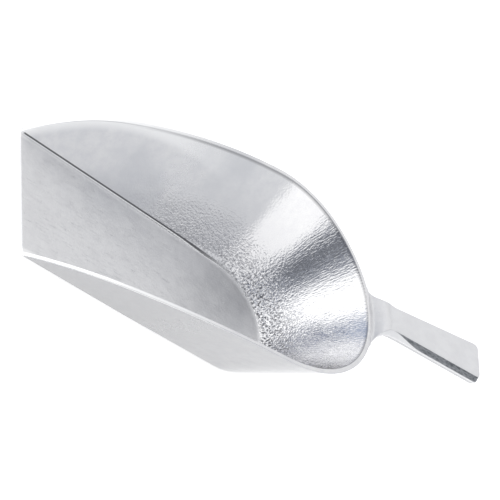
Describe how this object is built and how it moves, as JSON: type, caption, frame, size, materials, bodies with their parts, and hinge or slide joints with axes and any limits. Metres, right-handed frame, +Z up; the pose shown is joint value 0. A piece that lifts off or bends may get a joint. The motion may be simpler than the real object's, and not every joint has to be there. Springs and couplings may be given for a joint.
{
  "type": "ice scoop",
  "caption": "Cast aluminium ice scoop with a flat-bottomed flared bowl, a thin front lip and a short solid handle.",
  "frame": {"origin": "centre of the scoop's overall length and width, on the surface that it rests on", "axes": "+X along the scoop from the front lip to the end of the handle, +Y across the bowl to its left as seen from the lip, +Z up out of the bowl"},
  "size_m": [0.3924, 0.1956, 0.0972],
  "materials": {
    "cast_floor": "satin cast, faintly scratched",
    "cast_wall": "tumbled cast with a pebbled grain",
    "cast_handle": "matt cast"
  },
  "bodies": {
    "root": {"floor": "cast_floor", "front_lip": "cast_floor", "left_wall": "cast_wall", "right_wall": "cast_wall", "back_wall": "cast_wall", "handle_neck": "cast_handle", "handle_grip": "cast_handle"}
  },
  "joints": []
}
